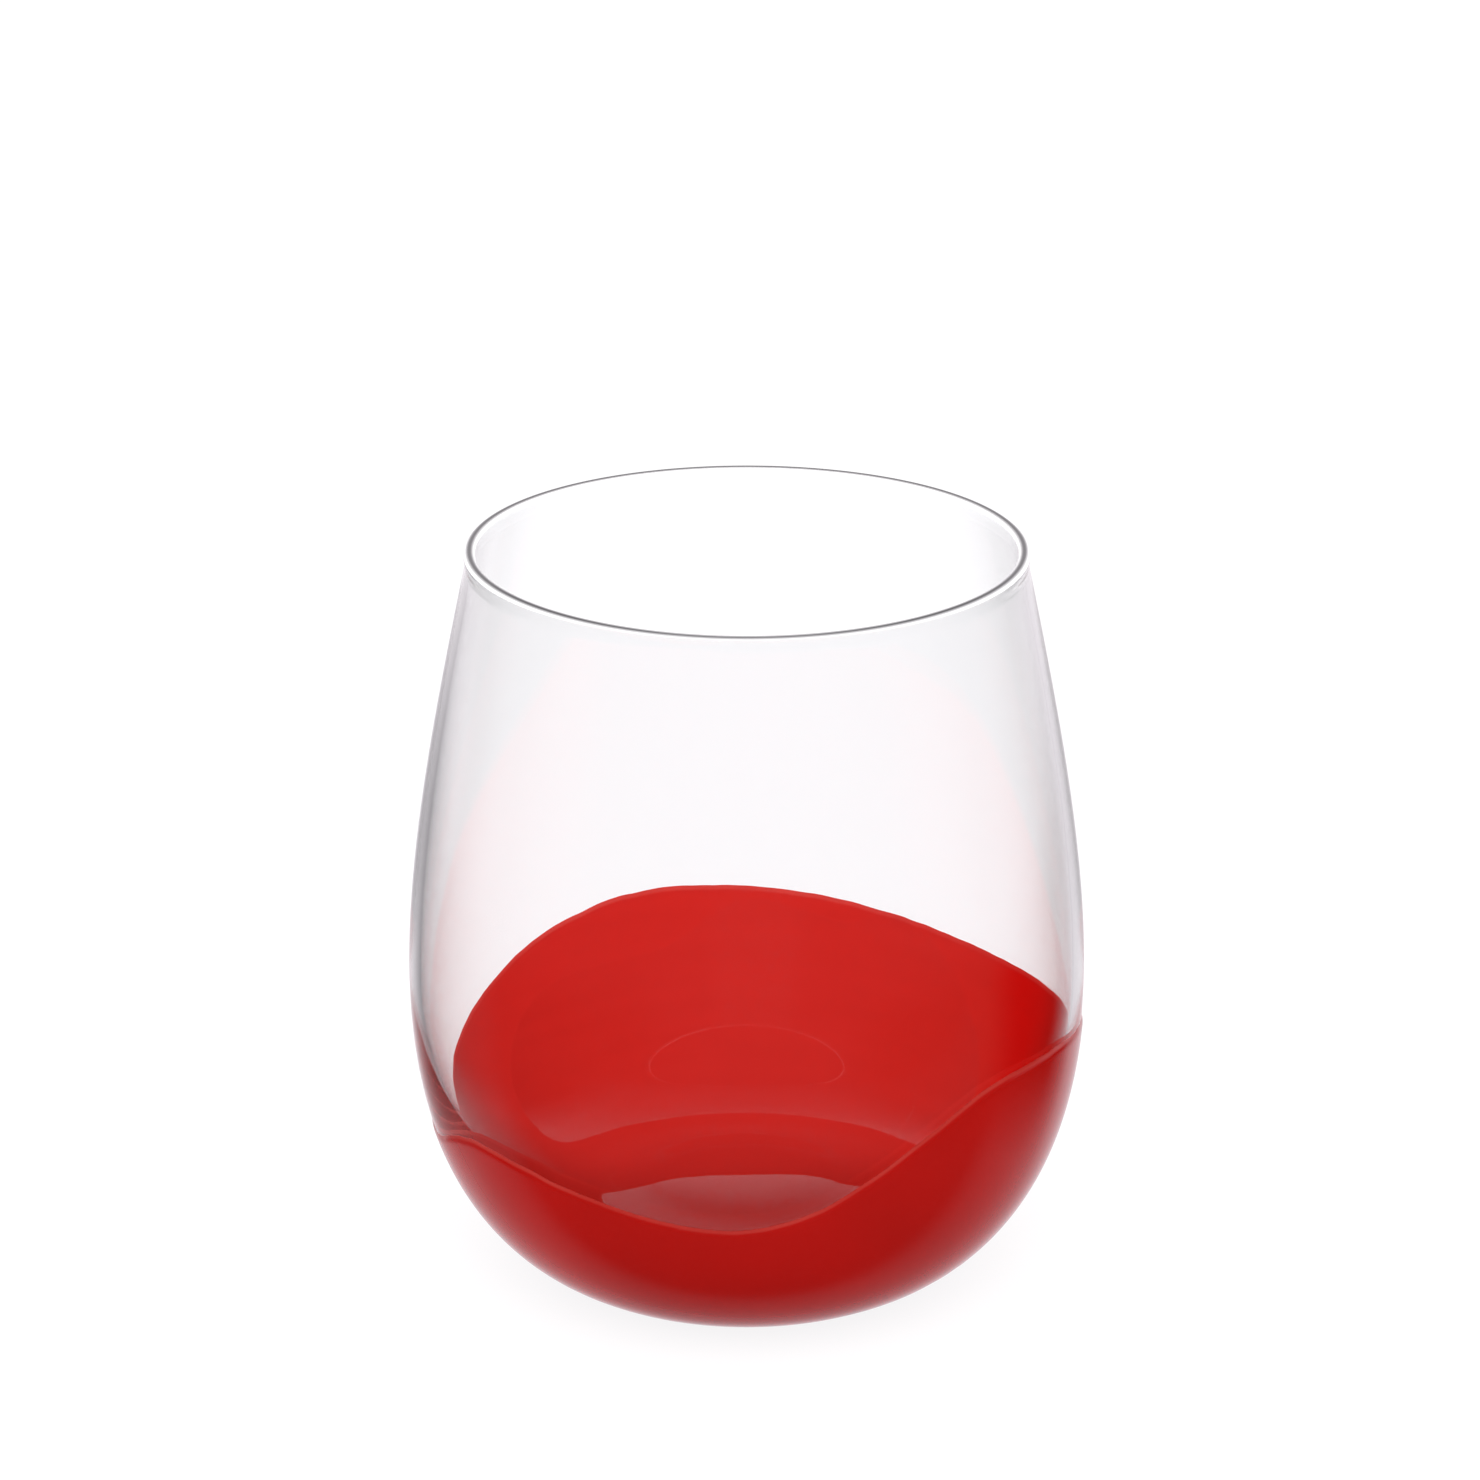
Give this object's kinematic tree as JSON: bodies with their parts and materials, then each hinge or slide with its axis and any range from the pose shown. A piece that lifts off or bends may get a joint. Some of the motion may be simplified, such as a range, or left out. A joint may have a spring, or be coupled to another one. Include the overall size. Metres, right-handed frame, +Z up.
{
  "type": "stemless water glass",
  "caption": "Clear egg-shaped stemless glass for water or wine, its lower part coated outside in red gloss enamel with a wavy hand-laid edge.",
  "frame": {"origin": "on the table, under the middle of the base", "axes": "+Z up through the mouth, front of the glass (the low dip of the enamel's edge) towards -Y, +X to its right"},
  "size_m": [0.092, 0.092, 0.1028],
  "materials": {
    "clear_glass": "clear soda-lime glass with a fire-polished surface and rim",
    "red_enamel": "opaque cold-cured red enamel, smooth and glossy, laid on the outside of the glass"
  },
  "bodies": {
    "root": {"glass_tumbler": "clear_glass", "enamel_coat": "red_enamel"}
  },
  "joints": []
}
